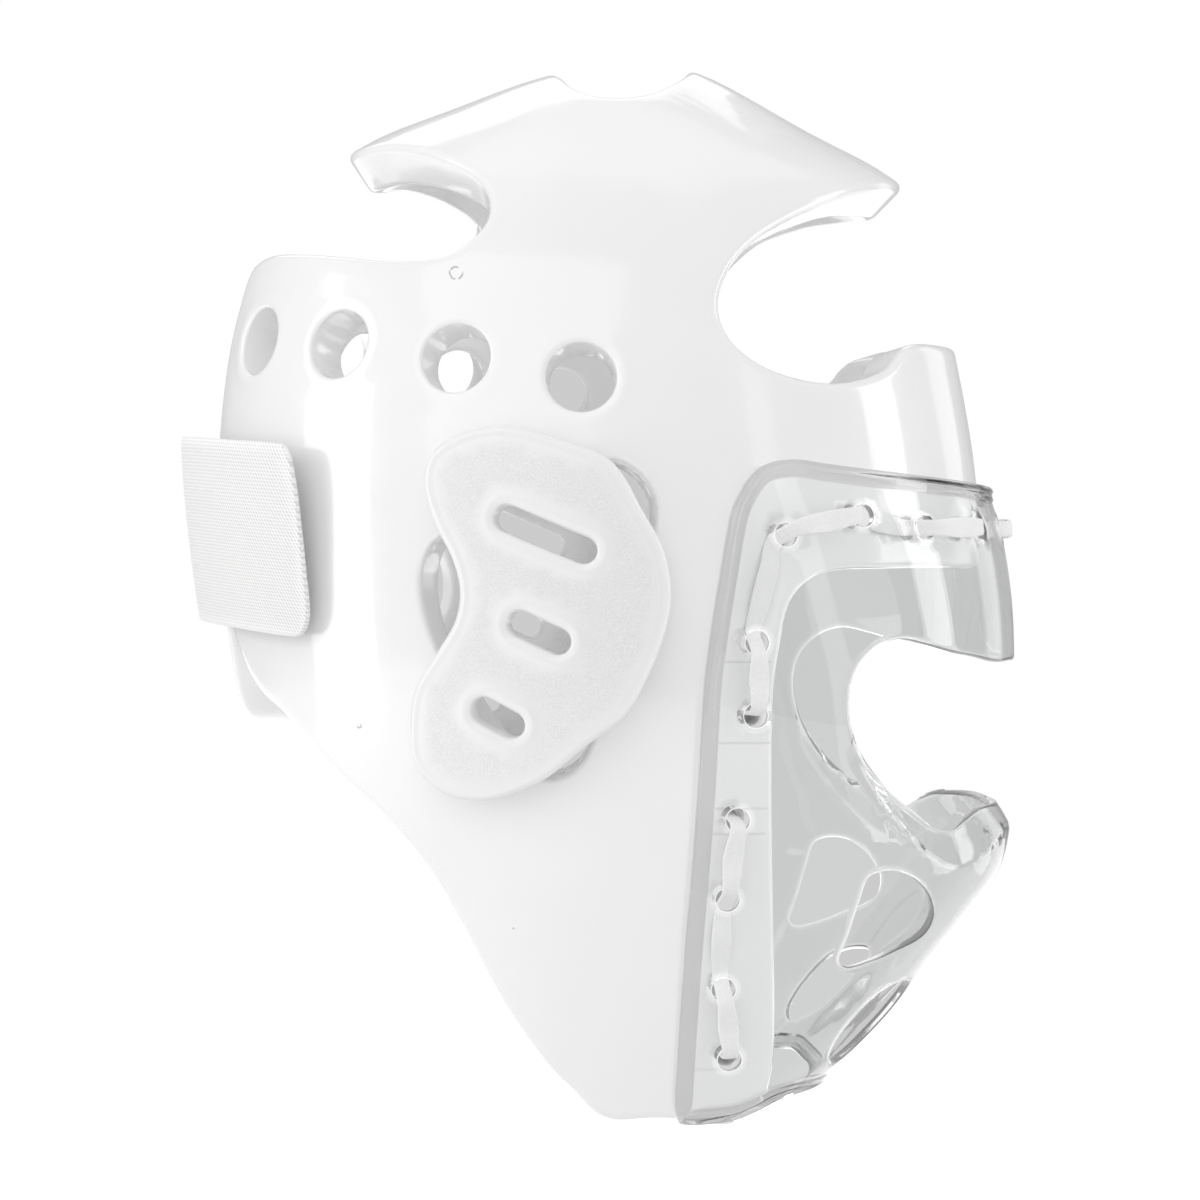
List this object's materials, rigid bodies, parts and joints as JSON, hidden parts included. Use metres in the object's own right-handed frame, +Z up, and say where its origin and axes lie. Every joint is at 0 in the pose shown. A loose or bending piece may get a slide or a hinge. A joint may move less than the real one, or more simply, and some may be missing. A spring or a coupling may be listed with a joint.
{
  "type": "karate headgear",
  "caption": "Dipped foam sparring head guard with kidney-shaped ear covers, an open back with a wide elastic strap, and a clear face shield laced to the front.",
  "frame": {"origin": "the wearer's crown, on the mid-plane about 15 mm under the foam's top opening", "axes": "+X forward out of the face, +Y to the wearer's left, +Z up"},
  "size_m": [0.2239, 0.1904, 0.2772],
  "materials": {
    "vinyl_foam": "smooth glossy white vinyl dip",
    "ear_foam": "white vinyl dip with a fine pebbled grain",
    "elastic": "white twill elastic webbing",
    "clear_shield": "clear moulded plastic",
    "lace": "flat white woven lace"
  },
  "bodies": {
    "root": {"foam_shell": "vinyl_foam", "ear_cover_right": "ear_foam", "ear_cover_left": "ear_foam", "back_strap": "elastic", "face_shield": "clear_shield", "shield_lace": "lace"}
  },
  "joints": []
}
